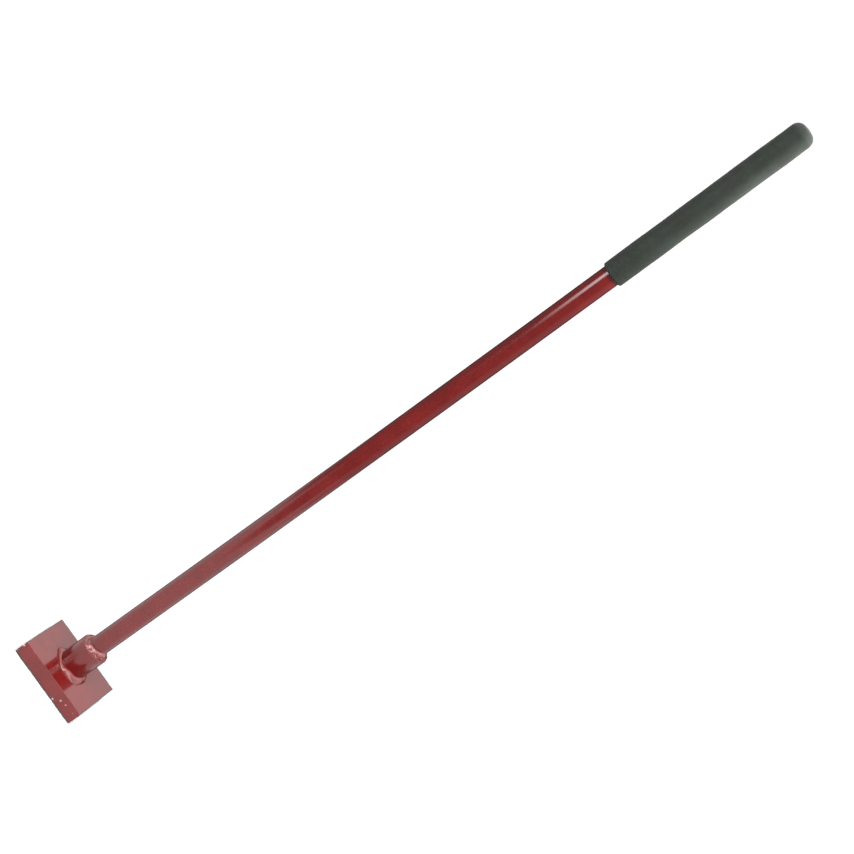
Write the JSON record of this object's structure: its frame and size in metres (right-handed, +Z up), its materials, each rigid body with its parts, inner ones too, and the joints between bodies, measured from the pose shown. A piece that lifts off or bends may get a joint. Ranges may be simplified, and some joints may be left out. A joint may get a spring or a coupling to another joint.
{
  "type": "post hole tamper",
  "caption": "Long-handled hand tamper: thick square steel plate and welded collar on a steel tube handle with a foam grip, for packing earth round posts.",
  "frame": {"origin": "centre of the plate's bottom face, which is the striking face", "axes": "+Z up along the handle towards the grip; X and Y parallel to the plate's sides"},
  "size_m": [0.105, 0.105, 1.0675],
  "materials": {
    "red_enamel": "gloss",
    "painted_weld": "satin",
    "foam_rubber": "matte"
  },
  "bodies": {
    "root": {"base_plate": "red_enamel", "socket_collar": "red_enamel", "base_weld": "painted_weld", "rim_weld": "painted_weld", "handle_tube": "red_enamel", "foam_grip": "foam_rubber"}
  },
  "joints": []
}
